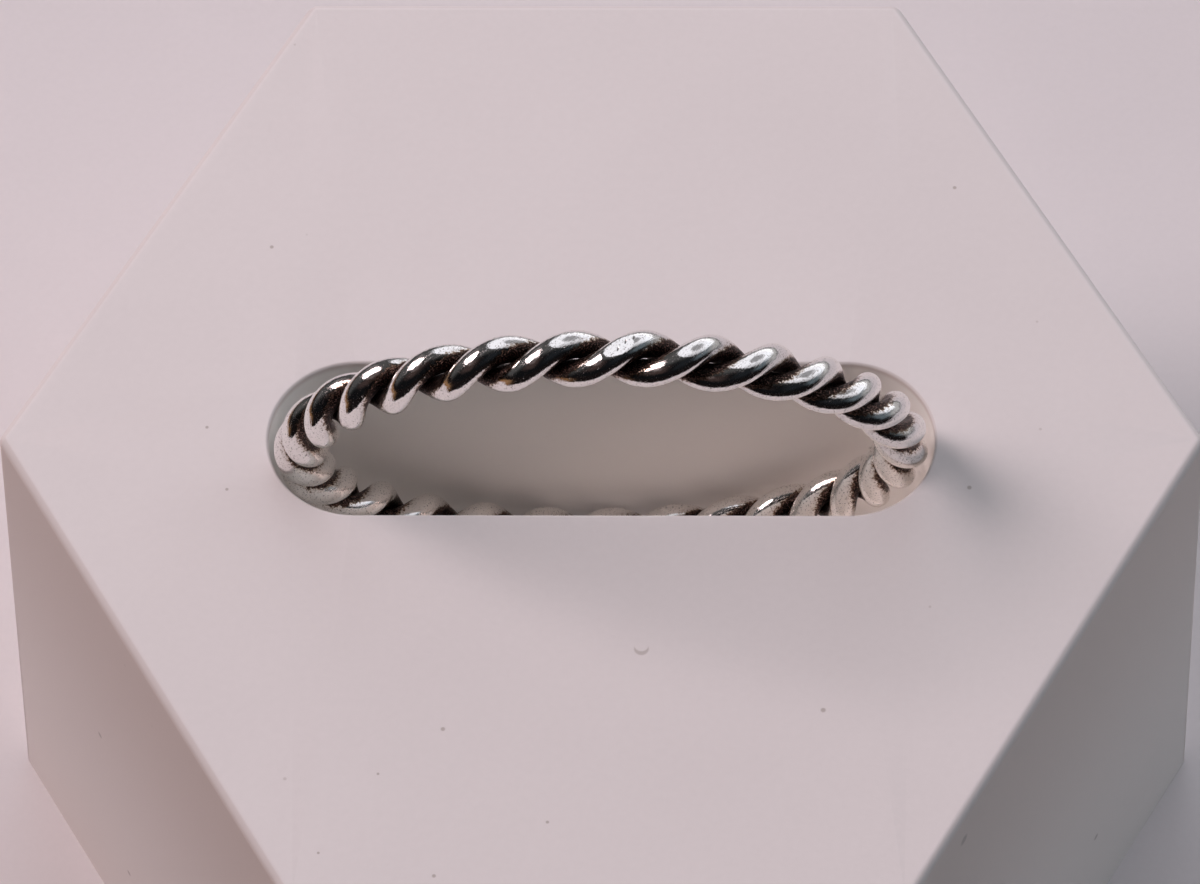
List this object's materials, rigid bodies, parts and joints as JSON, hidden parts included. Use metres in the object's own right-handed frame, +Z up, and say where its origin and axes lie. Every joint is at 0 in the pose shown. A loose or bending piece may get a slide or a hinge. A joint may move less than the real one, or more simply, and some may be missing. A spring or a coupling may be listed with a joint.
{
  "type": "rope twist ring on a hexagonal display block",
  "caption": "Slim finger ring of round silver wire twisted like rope, standing upright and leaning a little in the slot of a plain hexagonal display block.",
  "frame": {"origin": "middle of the block's base, on the surface that it stands on", "axes": "+X along the slot and across the ring, +Y to the back, +Z up; the ring's top leans towards -Y, the front"},
  "size_m": [0.0394, 0.0342, 0.0313],
  "materials": {
    "silver_wire": "polished sterling silver with fine scratches, darkened where the wires meet",
    "cast_block": "matte cast plaster, pale pinkish white, with small specks and softly rounded edges"
  },
  "bodies": {
    "root": {"strand_a": "silver_wire", "strand_b": "silver_wire", "display_block": "cast_block"}
  },
  "joints": []
}
